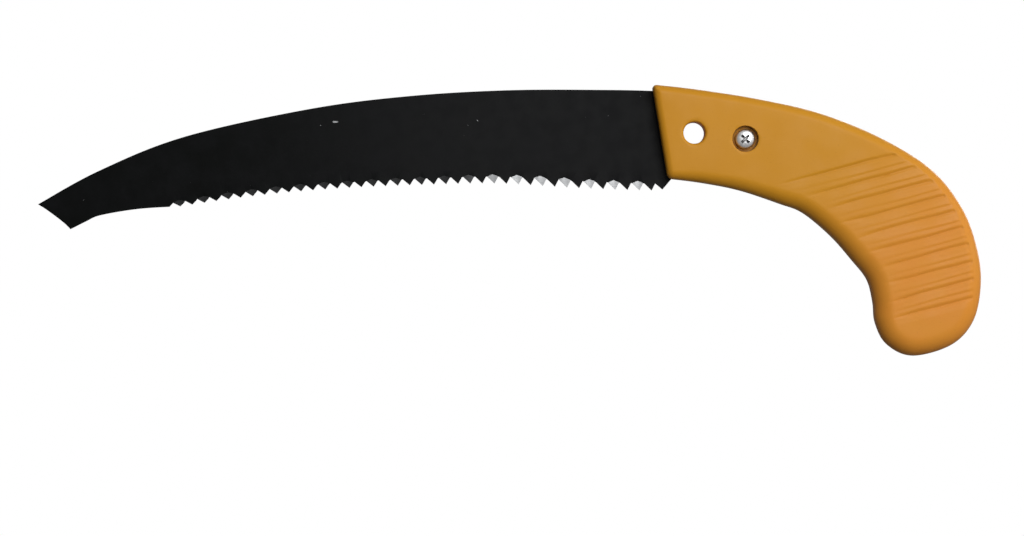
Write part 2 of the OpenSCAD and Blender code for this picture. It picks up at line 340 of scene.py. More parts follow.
class Shader:
    """A material whose nodes are added by calls that return sockets."""

    def __init__(self, name):
        self.material = bpy.data.materials.new(name)
        self.material.use_nodes = True
        self.tree = self.material.node_tree
        self.tree.nodes.clear()
        self.place = self.add("ShaderNodeTexCoord").outputs["Object"]

    def add(self, kind, sockets=None, **settings):
        node = self.tree.nodes.new(kind)
        for name, value in settings.items():
            setattr(node, name, value)
        for name, value in (sockets or {}).items():
            self.feed(node.inputs[name], value)
        return node

    def feed(self, socket, value):
        if isinstance(value, bpy.types.NodeSocket):
            self.tree.links.new(value, socket)
        else:
            socket.default_value = value

    def maths(self, operation, a, b=0.0):
        return self.add("ShaderNodeMath", {0: a, 1: b}, operation=operation).outputs[0]

    def scaled(self, value, low, high, to_low=0.0, to_high=1.0):
        node = self.add("ShaderNodeMapRange", {
            "Value": value, "From Min": low, "From Max": high, "To Min": to_low, "To Max": to_high},
            interpolation_type="SMOOTHSTEP")
        return node.outputs["Result"]

    def blend(self, share, a, b, blend_type="MIX"):
        node = self.add("ShaderNodeMix", data_type="RGBA", blend_type=blend_type)
        for socket, value in zip((node.inputs[0], node.inputs[6], node.inputs[7]), (share, a, b)):
            self.feed(socket, value)
        return node.outputs[2]

    def between(self, share, a, b):
        node = self.add("ShaderNodeMix", data_type="FLOAT")
        for socket, value in zip((node.inputs[0], node.inputs[2], node.inputs[3]), (share, a, b)):
            self.feed(socket, value)
        return node.outputs[0]

    def stretched(self, scale=(1, 1, 1), turn=(0, 0, 0)):
        node = self.add("ShaderNodeMapping", {
            "Vector": self.place, "Scale": scale, "Rotation": [math.radians(a) for a in turn]})
        return node.outputs["Vector"]

    def noise(self, size, detail=3.0, rough=0.5, where=None):
        """Cloudy noise with features about size mm across."""
        node = self.add("ShaderNodeTexNoise", {
            "Vector": where or self.place, "Scale": 1 / (size * MM), "Detail": detail,
            "Roughness": rough})
        return node.outputs["Fac"]

    def along(self, x, y, z):
        """How far along a direction each place is, in metres."""
        node = self.add("ShaderNodeVectorMath", {0: self.place, 1: (x, y, z)},
                        operation="DOT_PRODUCT")
        return node.outputs["Value"]

    def bump(self, height, depth, strength=1.0, over=None):
        """Normals roughened by a height from 0 to 1 that stands for depth mm."""
        sockets = {"Height": height, "Distance": depth * MM, "Strength": strength}
        if over is not None:
            sockets["Normal"] = over
        return self.add("ShaderNodeBump", sockets).outputs["Normal"]

    def hollows(self, reach, samples=6):
        """1 in the open, lower in creases and corners narrower than about reach mm."""
        node = self.add("ShaderNodeAmbientOcclusion", {"Distance": reach * MM}, samples=samples,
                        only_local=True)
        return node.outputs["AO"]

    def surface(self, **sockets):
        named = {name.replace("_", " "): value for name, value in sockets.items()}
        shader = self.add("ShaderNodeBsdfPrincipled", named)
        output = self.add("ShaderNodeOutputMaterial", {"Surface": shader.outputs[0]})
        return self.material


COAT_NICK = (-0.172, 0, 3 * 0.0055)


def handle_plastic():
    """Moulded plastic: yellower at the blade, redder down the grip, with a fine satin texture,
    painted shade darkening its grooves and recesses, and faint scuffs."""
    s = Shader("handle_plastic")
    front, grip = srgb(209, 144, 34), srgb(226, 145, 52)
    down_the_grip = s.scaled(s.along(0.7, 0, -0.7), 0.045, 0.125)
    tone = s.blend(down_the_grip, front, grip)
    clouds = s.scaled(s.noise(22, detail=4, rough=0.6), 0.3, 0.7)
    tone = s.blend(s.maths("MULTIPLY", clouds, 0.25), tone, srgb(218, 154, 50))
    specks = s.scaled(s.noise(0.9, detail=2), 0.62, 0.75)
    tone = s.blend(s.maths("MULTIPLY", specks, 0.12), tone, srgb(150, 92, 20))
    # Painted shade: ambient occlusion darkens the grooves, recesses and creases towards dark brown.
    painted_shade = s.scaled(s.hollows(3.0), 0.93, 0.40)
    tone = s.blend(s.maths("MULTIPLY", painted_shade, 0.75), tone, srgb(88, 52, 26))
    streaks = s.noise(1.2, detail=5, rough=0.7, where=s.stretched((0.12, 1, 1), (0, 35, 0)))
    scuffs = s.scaled(streaks, 0.66, 0.72)
    tone = s.blend(s.maths("MULTIPLY", scuffs, 0.10), tone, srgb(238, 196, 120))
    grain = s.noise(0.55, detail=3, rough=0.6)
    swells = s.noise(9, detail=2)
    normal = s.bump(grain, 0.02, 0.6, over=s.bump(swells, 0.25, 0.5))
    rough = s.scaled(s.noise(14, detail=4), 0.3, 0.7, 0.40, 0.54)
    rough = s.maths("ADD", rough, s.maths("MULTIPLY", scuffs, 0.12))
    return s.surface(Base_Color=tone, Roughness=rough, Normal=normal, Specular_IOR_Level=0.18)


def blade_steel():
    """Black-coated steel, worn a little along its edges, with bare metal where it was ground, whose near-white
    tone is partly a painted reflection.
    """
    s = Shader("blade_steel")
    # Painted sheen: the black coat is painted lighter and bluer towards the handle and darker towards the tip.
    coat_dark, coat_with_sheen = (0.0014, 0.0018, 0.0017, 1), (0.0088, 0.0090, 0.0094, 1)
    sheen_towards_handle = s.scaled(s.along(1, 0, 0), -0.24, -0.10)
    tone = s.blend(sheen_towards_handle, coat_dark, coat_with_sheen)
    clouds = s.scaled(s.noise(16, detail=5, rough=0.65), 0.35, 0.7)
    tone = s.blend(s.maths("MULTIPLY", clouds, 0.45), tone, (0.0072, 0.0075, 0.0086, 1))
    drawn = s.noise(0.5, detail=4, rough=0.6, where=s.stretched((0.06, 1, 1), (0, 4, 0)))
    chips = s.scaled(s.noise(2.4, detail=4, rough=0.7), 0.735, 0.755)
    pits = s.noise(0.35, detail=2)
    bare = s.add("ShaderNodeAttribute", attribute_name="bare").outputs["Fac"]
    towards_tip = s.scaled(s.along(1, 0, 0), -0.112, -0.085)
    edge = s.maths("MULTIPLY", bare, s.between(towards_tip, 0.04, 1.0))
    # Bare ground steel and chips, painted near white: partly the steel's own colour and partly a painted
    # reflection of bright surroundings.
    bare_metal_and_glint_tone = s.blend(s.scaled(drawn, 0.35, 0.7), srgb(222, 224, 226), srgb(242, 243, 245))
    from_nick = s.add("ShaderNodeVectorMath", {0: s.stretched((1, 0, 3)), 1: COAT_NICK},
                      operation="DISTANCE").outputs["Value"]
    nick = s.scaled(s.maths("ADD", from_nick, s.maths("MULTIPLY", pits, 0.0016)), 0.0026, 0.0015)
    chips = s.maths("MULTIPLY", s.maths("MAXIMUM", chips, nick), 0.5)
    shown = s.maths("MAXIMUM", edge, chips)
    tone = s.blend(shown, tone, bare_metal_and_glint_tone)
    normal = s.bump(drawn, 0.012, 0.5, over=s.bump(pits, 0.012, 0.45))
    rough = s.scaled(s.noise(7, detail=4), 0.3, 0.7, 0.42, 0.58)
    rough = s.between(shown, rough, 0.42)
    return s.surface(Base_Color=tone, Metallic=s.maths("MULTIPLY", shown, 0.35), Roughness=rough,
                     Normal=normal, Specular_IOR_Level=s.scaled(shown, 0, 1, 0.065, 0.5))


def turned_metal(name, light, dark, rough_from, rough_to, scratch=0.010, painted_shade=0.85):
    """Plated or bare metal with fine scratches, faint blotches, and painted shade darkening its corners and
    recesses.
    """
    s = Shader(name)
    blotches = s.scaled(s.noise(2.5, detail=4, rough=0.6), 0.3, 0.7)
    tone = s.blend(blotches, light, dark)
    # Painted shade: ambient occlusion darkens corners and recesses towards dark grey-brown and makes them less
    # metallic.
    corners = s.scaled(s.hollows(2.5), 0.9, 0.45)
    tone = s.blend(s.maths("MULTIPLY", corners, painted_shade), tone, srgb(38, 34, 30))
    scratches = s.noise(0.18, detail=4, rough=0.7, where=s.stretched((0.3, 1, 1), (0, 25, 0)))
    normal = s.bump(scratches, scratch, 0.5)
    rough = s.scaled(s.noise(0.8, detail=3), 0.3, 0.7, rough_from, rough_to)
    metal = s.maths("SUBTRACT", 1.0, s.maths("MULTIPLY", corners, 0.5))
    return s.surface(Base_Color=tone, Metallic=metal, Roughness=rough, Normal=normal)


def nylon():
    """Natural nylon sheet, rubbed grey where the blade runs on it."""
    s = Shader("friction_washer_nylon")
    rubbed = s.scaled(s.noise(1.5, detail=4, rough=0.6), 0.45, 0.7)
    tone = s.blend(s.maths("MULTIPLY", rubbed, 0.6), srgb(232, 228, 214), srgb(150, 148, 140))
    rings = s.noise(0.3, detail=3)
    return s.surface(Base_Color=tone, Roughness=s.scaled(rubbed, 0, 1, 0.5, 0.35),
                     Normal=s.bump(rings, 0.01, 0.6), Subsurface_Weight=0.1)


# --- Blade ----------------------------------------------------------------------------------

EDGE_CHAMFER = 0.14
TOOTH_SET = 0.2
BEVEL_LIP = 0.25
BEVEL_RISE = 0.3


def tooth_flanks(loop, corners):
    """For each tooth: the places in the loop of its first gullet, its tip and its second gullet."""
    turn = turns(loop)[corners]
    teeth = []
    for k in range(1, len(corners) - 1):
        if turn[k] > 55 and turn[k - 1] < -10 and turn[k + 1] < -10:
            teeth.append((corners[k - 1], corners[k], corners[k + 1]))
    return teeth


class PlateEdge:
    """One edge of the blade's plate: where it meets each face, how deep its chamfers go, how far it
    is bent sideways, and at which places each side is ground bare."""

    def __init__(self, loop):
        self.loop = loop
        chamfered = loop + inward(loop) * EDGE_CHAMFER
        self.on_face = [chamfered.copy(), chamfered.copy()]
        depth = BLADE_T / 2 - EDGE_CHAMFER
        self.edge = [np.full(len(loop), depth), np.full(len(loop), -depth)]
        self.bend = np.zeros(len(loop))
        self.ground = [set(), set()]

    def grind(self, teeth):
        """Bevels one side of each tooth, in turn, down to its edges from a point above its middle,
        and bends its tip towards its other side."""
        half_t = BLADE_T / 2
        for number, (first, tip, last) in enumerate(teeth):
            side = number % 2
            out = 1 - 2 * side
            face = self.on_face[side]
            self.ground[side].update(range(first, last))
            height = (self.loop[first][1] + self.loop[last][1]) / 2 - self.loop[tip][1]
            peak = (face[first] + face[last]) / 2 + (0, BEVEL_RISE * height)
            for place in range(first + 1, last):
                gullet = first if place <= tip else last
                share = (place - gullet) / (tip - gullet)
                face[place] = face[gullet] + (peak - face[gullet]) * share
                depth = EDGE_CHAMFER + (BLADE_T - BEVEL_LIP - EDGE_CHAMFER) * share
                self.edge[side][place] = out * (half_t - depth)
                self.edge[1 - side][place] = out * (EDGE_CHAMFER / 2 - half_t)
                self.bend[place] = -out * TOOTH_SET * share

    def rings(self):
        """The four rings round the edge, from the front face to the back."""
        half_t = np.full(len(self.loop), BLADE_T / 2)
        levels = ((self.on_face[0], half_t), (self.loop, self.edge[0]),
                  (self.loop, self.edge[1]), (self.on_face[1], -half_t))
        return [np.column_stack([where, z + self.bend]) for where, z in levels]


def lattice_points(loop, spacing, angle, across=None):
    """A grid of points over the loop's box, turned by angle. across is its finer spacing."""
    across = across or spacing
    centre = (loop.min(axis=0) + loop.max(axis=0)) / 2
    reach = np.linalg.norm(np.ptp(loop, axis=0)) / 2
    u = np.arange(-reach, reach, spacing)
    v = np.arange(-reach, reach, across)
    grid_u, grid_v = np.meshgrid(u, v)
    grid_u[1::2] += spacing / 2
    c, s = math.cos(math.radians(angle)), math.sin(math.radians(angle))
    return centre + np.column_stack([(grid_u * c - grid_v * s).ravel(),
                                     (grid_u * s + grid_v * c).ravel()])


def blade_edges():
    """The blade's outline with its teeth ground, and its round holes."""
    outline, *holes = rim_loops("blade", 0.99)
    loop, corners = redrawn(outline, 20, 1.6, 3)
    edges = [PlateEdge(loop)]
    edges[0].grind(tooth_flanks(loop, corners)[:-1])
    angles = -np.linspace(0, 2 * math.pi, 96, endpoint=False)
    for hole in holes:
        centre = (hole.min(axis=0) + hole.max(axis=0)) / 2
        radius = np.linalg.norm(hole - centre, axis=1).max()
        edges.append(PlateEdge(centre + radius * np.column_stack([np.cos(angles), np.sin(angles)])))
    return edges


def face_lattice(edges):
    """Points inside the blade's faces, clear of its edges."""
    points = lattice_points(edges[0].loop, 5.0, 0.0)
    points = points[inside(points, edges[0].loop)]
    for edge, clearance in zip(edges, [2.5] + [1.0] * (len(edges) - 1)):
        gap, _ = distance_to(points, np.vstack([edge.loop, edge.loop[:1]]))
        points = points[gap > clearance]
    for hole in edges[1:]:
        points = points[~inside(points, hole.loop)]
    return points


def blade(material):
    edges = blade_edges()
    points, faces, bare = [], [], []
    rims = [[], []]
    for edge in edges:
        count, start = len(edge.loop), len(points)
        points.extend(point for ring in edge.rings() for point in ring)
        for side, level in ((0, 0), (1, 3)):
            rims[side].append(range(start + level * count, start + (level + 1) * count))
        for level, ground in enumerate((edge.ground[0], set(), edge.ground[1])):
            low = start + level * count
            for k in range(count):
                after = (k + 1) % count
                faces.append((low + k, low + after, low + after + count, low + k + count))
                bare.append(k in ground)
    lattice = face_lattice(edges)
    for side, z in enumerate((BLADE_T / 2, -BLADE_T / 2)):
        members = [i for rim in rims[side] for i in rim] + list(
            range(len(points), len(points) + len(lattice)))
        points.extend((x, y, z) for x, y in lattice)
        flat = [points[i][:2] for i in members]
        segments, loops, seen = [], [], 0
        for rim in rims[side]:
            count = len(rim)
            segments += [(seen + k, seen + (k + 1) % count) for k in range(count)]
            loops.append(np.array(flat[seen:seen + count]))
            seen += count
        cap = triangles_within(flat, segments, loops)
        faces += [tuple(members[i] for i in face) for face in cap]
        bare += [False] * len(cap)
    made = mesh_object("toothed_blade", points, faces)
    attribute = made.data.attributes.new("bare", "FLOAT", "FACE")
    attribute.data.foreach_set("value", np.array(bare, np.float32))
    return finish_piece(made, "blade", ["blade"], "blade_steel", material, sharp_angle=20)


# --- Handle shells --------------------------------------------------------------------------

OUTLINE_SPACING = 1.0
CORNER_CUT = 2.4
PARTING_INSET = 0.22
PARTING_HEIGHT = 0.3
CROWN = 0.45
CROWN_REACH = 9.0
RING_STEPS = 11
FINE_STEP = 0.3

GROOVE_START = np.array([49, -13.3])
GROOVE_ANGLE = 15.1
GROOVE_PITCH = 8.44
GROOVE_COUNT = 10
WAVE_DEPTH = 0.32
CUT_DEPTH = 0.34
CUT_WIDTH = 0.075
MINOR_AT = 0.62
MINOR_DEPTH = 0.24


def rounded_corners(loop, cut):
    """The loop with each sharp corner replaced by a short curve that starts cut mm before it."""
    sharp = set(np.flatnonzero(np.abs(turns(loop)) > 40))
    made = []
    for i, p in enumerate(loop):
        if i in sharp:
            before = p + unit(loop[i - 1] - p) * cut
            after = p + unit(loop[(i + 1) % len(loop)] - p) * cut
            for t in np.linspace(0, 1, 7):
                made.append((1 - t) ** 2 * before + 2 * t * (1 - t) * p + t * t * after)
        elif all(np.linalg.norm(p - loop[k]) > cut + 0.3 for k in sharp):
            made.append(p)
    return np.array(made)


class HandleShape:
    """The handle's outline, split where its underside, back and front meet."""

    def __init__(self):
        outline = rim_loops("front_handle_shell", 0.02)[0]
        loop, corners = redrawn(outline, 40, OUTLINE_SPACING, 45)
        lower_front = min(corners, key=lambda i: loop[i][1])
        loop = np.roll(loop, -lower_front, axis=0)
        self.sharp_loop = loop
        top_front = loop[[i for i in np.flatnonzero(np.abs(turns(loop)) > 40)
                          if loop[i][1] > 0][0]]
        self.loop = rounded_corners(loop, CORNER_CUT)
        closed = np.vstack([self.loop, self.loop[:1]])
        self.closed = closed
        butt = int(self.loop[:, 1].argmin())
        top = int(np.linalg.norm(self.loop - top_front, axis=1).argmin())
        self.butt, self.top = butt, top
        self.underside = self.loop[:butt + 1]
        self.back = self.loop[butt:top + 1]
        place = np.zeros(len(closed))
        place[:butt + 1] = np.linspace(0, 1, butt + 1)
        place[butt:top + 1] = np.linspace(1, 2, top - butt + 1)
        place[top:] = np.linspace(2, 3, len(closed) - top)
        self.places = place
        self.move = inward(self.loop)
        points = cheek_points(self)
        gap, along = distance_to(points, closed)
        radius = self.edge_radius(self.place_at(along))
        self.cheek = points, cheek_height(points, self, gap, radius)

    def edge_radius(self, place):
        """Rounding of the handle's edge: 0 to 1 runs down its underside to the butt, 1 to 2 up its
        back to the top of the front, and 2 to 3 down the front."""
        return np.interp(place, (0, 0.12, 0.35, 0.7, 1.0, 1.35, 1.9, 2.0, 2.4, 2.8, 3.0),
                         (3.8, 5.5, 7.0, 9.8, 9.0, 5.5, 4.0, 3.4, 3.4, 3.4, 3.4))

    def place_at(self, along):
        low = along.astype(int)
        return self.places[low] + (self.places[low + 1] - self.places[low]) * (along - low)


def grip_coordinates(points):
    """How far each point is along the grooves, and down across them, from the first groove."""
    c, s = math.cos(math.radians(GROOVE_ANGLE)), math.sin(math.radians(GROOVE_ANGLE))
    offset = points - GROOVE_START
    return offset[:, 0] * c + offset[:, 1] * s, offset[:, 0] * s - offset[:, 1] * c


def on_ribs(points, shape):
    """Whether each point is on the ribbed grip or close beside it."""
    _, down = grip_coordinates(points)
    from_inside, _ = distance_to(points, shape.underside)
    from_back, _ = distance_to(points, shape.back)
    return ((down > -0.4 * GROOVE_PITCH) & (down < (GROOVE_COUNT - 0.3) * GROOVE_PITCH)
            & (from_inside > 3.0) & (from_back > 2.8))


def groove_depth_at(points, shape):
    """Depth of the ribbed grip's waves and cut lines below the smooth cheek."""
    along, down = grip_coordinates(points)
    waver = 0.10 * np.sin(along / 5.3 + down * 0.9) + 0.16 * np.sin(along / 13 + down * 0.31 + 2)
    phase = (down + waver) / GROOVE_PITCH
    f = phase - np.floor(phase)
    rise = smooth_step(f, 0.04, 0.55)
    fall = 1 - smooth_step(f, 0.80, 1.04)
    wave = np.minimum(rise, fall)
    line = np.exp(-((np.minimum(f, 1 - f) + 0.0) / CUT_WIDTH) ** 2)
    minor = np.exp(-((f - MINOR_AT) / (CUT_WIDTH * 0.8)) ** 2)
    from_inside, _ = distance_to(points, shape.underside)
    from_back, _ = distance_to(points, shape.back)
    ragged = 1.1 * np.sin(down * 1.9 + 1) + 0.8 * np.sin(down * 4.7)
    left = smooth_step(from_inside, 5.5 + ragged, 19 + ragged)
    right = smooth_step(from_back, 3.4, 4.6)
    ends = smooth_step(phase, -0.25, 0.0) * (1 - smooth_step(phase, GROOVE_COUNT - 0.9, GROOVE_COUNT - 0.45))
    towards_back = smooth_step(-from_back, -34, -12)
    fine = 0.055 * (1 + np.sin(6 * math.pi * f + 1.3)) * towards_back
    breaks = 0.85 + 0.15 * np.sin(along / 3.1 + np.floor(phase) * 2.1)
    depth = (WAVE_DEPTH * (1 - wave) + CUT_DEPTH * line * breaks
             + MINOR_DEPTH * minor * (0.45 + 0.55 * towards_back) + fine)
    return depth * left * right * ends


def cheek_height(points, shape, gap, radius):
    """Height of the outer face: flat in the middle, rounded at its edge, and ribbed."""
    reach = np.minimum(gap, radius)
    rounding = radius - np.sqrt(np.maximum(radius ** 2 - (radius - reach) ** 2, 0))
    crown = CROWN * np.exp(-gap / CROWN_REACH)
    return HALF_T - rounding - crown - groove_depth_at(points, shape)


def cheek_points(shape):
    """Points over the cheek: rings that follow the rounded edge, a fine grid over the ribs, and a
    coarse grid elsewhere."""
    radius = shape.edge_radius(shape.places[:-1])
    shares = [1 - math.cos(math.pi / 2 * step / RING_STEPS) for step in range(1, RING_STEPS + 1)]
    rings = np.vstack([shape.loop + shape.move * (radius * share)[:, None] for share in shares])
    wanted = np.concatenate([radius * share for share in shares])
    gap, _ = distance_to(rings, shape.closed)
    kept = inside(rings, shape.loop) & (gap > np.maximum(wanted - 0.04, 0.02))
    made = [rings[kept & (~on_ribs(rings, shape) | (gap < 2.6))]]

    coarse = lattice_points(shape.loop, 2.2, GROOVE_ANGLE)
    coarse = coarse[inside(coarse, shape.loop)]
    gap, along = distance_to(coarse, shape.closed)
    beyond_edge = gap > shape.edge_radius(shape.place_at(along)) + 0.6
    made.append(coarse[beyond_edge & ~on_ribs(coarse, shape)])

    fine = lattice_points(shape.loop, 1.1, GROOVE_ANGLE, FINE_STEP)
    fine = fine[inside(fine, shape.loop)]
    fine = fine[on_ribs(fine, shape)]
    gap, _ = distance_to(fine, shape.closed)
    made.append(fine[gap > 2.4])
    return np.vstack(made)


def half_handle(name, shape, side):
    """One closed half of the handle, before its holes are cut. side is 1 for the screw's side."""
    loop, count = shape.loop, len(shape.loop)
    radius = shape.edge_radius(shape.places[:-1])
    rim = HALF_T - radius - CROWN
    inner, height = shape.cheek
    rings = [np.column_stack([loop + shape.move * PARTING_INSET, np.zeros(count)]),
             np.column_stack([loop, np.full(count, PARTING_HEIGHT)]),
             np.column_stack([loop, rim])]
    points = np.vstack(rings + [np.column_stack([inner, height])])
    faces = [(a + k, a + (k + 1) % count, a + count + (k + 1) % count, a + count + k)
             for a in (0, count) for k in range(count)]
    top = 2 * count
    edges = [(k, (k + 1) % count) for k in range(count)]
    cap = triangles_within(np.vstack([loop, inner]), edges, [loop])
    faces += [tuple(top + i for i in face) for face in cap]
    faces.append(tuple(range(count)))
    points[:, 2] *= side
    return mesh_object(name, points, faces)


def mouth(radius, floor, lip, top=None):
    """Half-section of a round hole's cutter, with a rounded lip where it meets the cheek."""
    top = HALF_T if top is None else top
    angles = np.radians(np.linspace(0, 90, 7))
    flare = [(radius + lip * (1 - math.cos(a)), top - lip + lip * math.sin(a)) for a in angles]
    return [(0, floor), (radius, floor)] + flare + [(radius + lip, top + 1), (0, top + 1)]


TANG_R = 11.0
SLOT_HALF = 1.0
SLOT_GAP = 0.4
SLOT_REAR_GAP = 1.5
NOSE_R = 15.3
SLOT_REACH = 70.0
HOLLOW_WALL = 4.0
HOLLOW_ROOF = 8.3
RIB_T = 1.8
BOSS_R = 4.4
GRIP_SCREWS = ("upper_grip_screw", "middle_grip_screw", "lower_grip_screw")


def slot_outline():
    """The room that the blade's tang and heel need between the shells, from rest to full swing."""
    tang_top = np.array([-42, 23.2])
    heel_top, heel = np.array([-34.8, -18.7]), np.array([-39.4, -24.1])

    def touch(p, side):
        return math.degrees(math.atan2(p[1], p[0]) - side * math.acos(TANG_R / np.hypot(*p)))

    rise, low = touch(tang_top, 1), touch(heel_top, -1)
    roof = [turned((TANG_R + SLOT_GAP, reach), rise) for reach in (SLOT_REACH, 0)]
    rear = turned((TANG_R + SLOT_REAR_GAP, 0), low + SWING)
    swung = [turned(p, SWING) + SLOT_REAR_GAP for p in (heel_top, heel)]
    return roof + [rear] + swung + [np.array([swung[1][0], -SLOT_REACH]),
                                    np.array([-SLOT_REACH, -SLOT_REACH])]


def hollow(shape, side):
    """What the mould leaves empty inside one shell: its inside, less the ribs and bosses."""
    radius = HOLLOW_WALL
    ring = shape.loop + shape.move * radius
    gap, _ = distance_to(ring, shape.closed)
    ring = ring[gap > radius - 0.05]
    low, high = sorted((-0.5 * side, HOLLOW_ROOF * side))
    made = prism("hollow", ring, low, high)
    front = shape.loop[:, 0].min()
    combine(made, prism("front_wall", [(front - 5, -60), (front + 9, -60), (front + 9, 60),
                                       (front - 5, 60)], low - 1, high + 1))
    for share in (0.16, 0.31, 0.42, 0.52, 0.62, 0.71, 0.80, 0.89):
        below = shape.underside[int(share * (len(shape.underside) - 1))]
        above = shape.back[int((1 - share) * (len(shape.back) - 1))]
        across = turned(unit(above - below), 90) * RIB_T / 2
        rib = [below - across, above - across, above + across, below + across]
        combine(made, prism("rib", rib, low - 1, high + 1))
    bosses = [((0, 0), 9.5), (HANG_HOLE_AT, HANG_HOLE_R + 2.6), (node_centre("stop_pin"), BOSS_R)]
    bosses += [(node_centre(screw), BOSS_R) for screw in GRIP_SCREWS]
    for at, boss_r in bosses:
        combine(made, lathe("boss", [(0, low - 1), (boss_r, low - 1), (boss_r, high + 1),
                                     (0, high + 1)], at, 48))
    return made


def shell(name, node, shape, side, material):
    made = half_handle(name, shape, side)

    def cut(profile, at=(0, 0), steps=96):
        combine(made, lathe("cutter", [(r, z * side) for r, z in profile], at, steps))

    combine(made, hollow(shape, side))
    low, high = sorted((-1 * side, SLOT_HALF * side))
    combine(made, prism("slot", slot_outline(), low, high))
    cut([(0, -1), (NOSE_R + SLOT_GAP, -1), (NOSE_R + SLOT_GAP, SLOT_HALF), (0, SLOT_HALF)])
    cut(mouth(HANG_HOLE_R, -1, 1.5), HANG_HOLE_AT)
    cut([(0, -1), (4.03, -1), (4.03, HALF_T + 1), (0, HALF_T + 1)])
    cut([(0, -1), (7.7, -1), (7.7, 1.25), (0, 1.25)])
    pin_depth = node_box("stop_pin")[1][2] + 0.1
    cut([(0, -1), (2.03, -1), (2.03, pin_depth), (0, pin_depth)], node_centre("stop_pin"), 48)
    if side > 0:
        cut(mouth(6.25, 7.4, 0.55))
        for screw in GRIP_SCREWS:
            cut([(0, -1), (1.49, -1), (1.49, 9.4), (0, 9.4)], node_centre(screw), 48)
    else:
        corner_r = (13 / 2 + 0.1) / math.cos(math.radians(30))
        cut([(0, 8.4), (corner_r, 8.4), (corner_r, HALF_T - 0.5), (corner_r + 1, HALF_T + 0.5),
             (0, HALF_T + 0.5)], steps=6)
        for screw in GRIP_SCREWS:
            cut([(0, -1), (1.8, -1), (1.8, HALF_T + 1), (0, HALF_T + 1)], node_centre(screw), 48)
            cut(mouth(3.7, 7.0, 0.45), node_centre(screw), 64)
    return finish_piece(made, "handle", [node], "handle_plastic", material, sharp_angle=38)


# --- Fasteners ------------------------------------------------------------------------------

def thread(root, crest, pitch, low, high):
    """A radius function that winds a thread's ridge round a shank between two heights."""
    def radius(r, z, angle):
        if not low < z < high:
            return r
        turn = z / pitch - angle / (2 * math.pi)
        ridge = 1 - abs(2 * (turn - math.floor(turn)) - 1)
        fade = min(1, (z - low) / pitch, (high - z) / pitch)
        shape = min(1, max(0, ridge * 1.5 - 0.25))
        return min(r, root + (crest - root) * shape * fade)
    return radius


def cross_cutter(name, at, top, out, span, width, depth, turn):
    """One arm of a cross recess: a bar that narrows towards its floor."""
    floor = [(-span * 0.25, -width * 0.3), (span * 0.25, -width * 0.3),
             (span * 0.25, width * 0.3), (-span * 0.25, width * 0.3)]
    brim = [(-span / 2, -width / 2), (span / 2, -width / 2), (span / 2, width / 2),
            (-span / 2, width / 2)]
    rings = []
    for outline, z in ((floor, top - depth * out), (brim, top), (brim, top + out)):
        rings.append([(*(np.array(at) + turned(p, turn)), z) for p in outline])
    return skin(name, rings)


def screw(name, node, body, slot, material, at, out, seat, head_r, head_h, shank_r, root_r, pitch,
          length, point, recess):
    """A pan-head screw. out is 1 if its head faces +z, and seat is where its head starts."""
    profile = [(0, head_h)]
    dome = head_h * 0.6
    for a in range(80, -1, -8):
        angle = math.radians(a)
        profile.append((head_r * math.cos(angle) ** 0.8, head_h - dome + dome * math.sin(angle)))
    profile += [(head_r, head_h - dome - 0.2), (head_r, 0.25), (head_r - 0.25, 0), (shank_r + 0.2, 0),
                (shank_r, -0.2)]
    steps = int(length / pitch * 10)
    tip_start = length - point
    profile += [(shank_r, -z) for z in np.linspace(0.3, tip_start, steps)]
    profile += [(shank_r + (0.35 * shank_r - shank_r) * t, -tip_start - point * t)
                for t in np.linspace(0.1, 1, 6)]
    profile.append((0, -length))
    ridge = thread(root_r, shank_r, pitch, -tip_start + 0.1, -0.9)
    placed = [(r, seat + out * z) for r, z in profile]
    made = lathe(name, placed, at, 64, lambda r, z, a: ridge(r, (z - seat) * out, a * out))
    span, width, depth = recess
    for turn in (45, 135):
        combine(made, cross_cutter("recess", at, seat + out * head_h, out, span, width, depth, turn))
    return finish_piece(made, body, [node], slot, material, sharp_angle=30)


def sleeve_nut(material):
    """A hexagon flange, chamfered at its corners, on a plain barrel with a bore for the screw."""
    low, high = node_box("pivot_sleeve_nut")
    flange_top = -8.4
    flange_low = low[2]
    flat_r = 13 / 2
    corner_r = flat_r / math.cos(math.radians(30))
    made = lathe("hexagon_sleeve_nut", [(0, flange_low), (corner_r, flange_low),
                                        (corner_r, flange_top), (0, flange_top)], steps=6)
    cone = [(0, flange_low), (flat_r - 0.3, flange_low), (corner_r + 0.1, flange_low + 0.75),
            (corner_r + 0.1, flange_top + 1), (0, flange_top + 1)]
    combine(made, lathe("chamfer", cone, steps=128), "INTERSECT")
    combine(made, lathe("barrel", [(0, flange_top - 0.5), (4, flange_top - 0.5), (4, high[2] - 0.3),
                                   (3.7, high[2]), (0, high[2])], steps=96), "UNION")
    combine(made, lathe("bore", [(0, -9), (2.46, -9), (2.46, high[2] - 0.3), (2.8, high[2] + 0.1),
                                 (0, high[2] + 0.1)], steps=64))
    combine(made, lathe("end_dimple", [(0, flange_low - 1), (1.6, flange_low - 1),
                                       (1.6, flange_low), (0, flange_low + 0.7)], steps=48))
    return finish_piece(made, "handle", ["pivot_sleeve_nut"], "screw_steel", material)


def rounded_ring(inner, outer, low, high, edge):
    """The section of a washer with rounded edges."""
    points = []
    corners = (((outer - edge), (high - edge), 90), ((outer - edge), (low + edge), 0),
               ((inner + edge), (low + edge), -90), ((inner + edge), (high - edge), -180))
    for x, z, start in corners:
        for step in range(4):
            a = math.radians(start - 30 * step)
            points.append((x + edge * math.cos(a), z + edge * math.sin(a)))
    return points


def friction_washer(name, node, material):
    low, high = node_box(node)
    section = rounded_ring(4.1, high[0], low[2], high[2], 0.12)
    made = lathe(name, section, steps=96)
    return finish_piece(made, "handle", [node], "friction_washer_nylon", material)


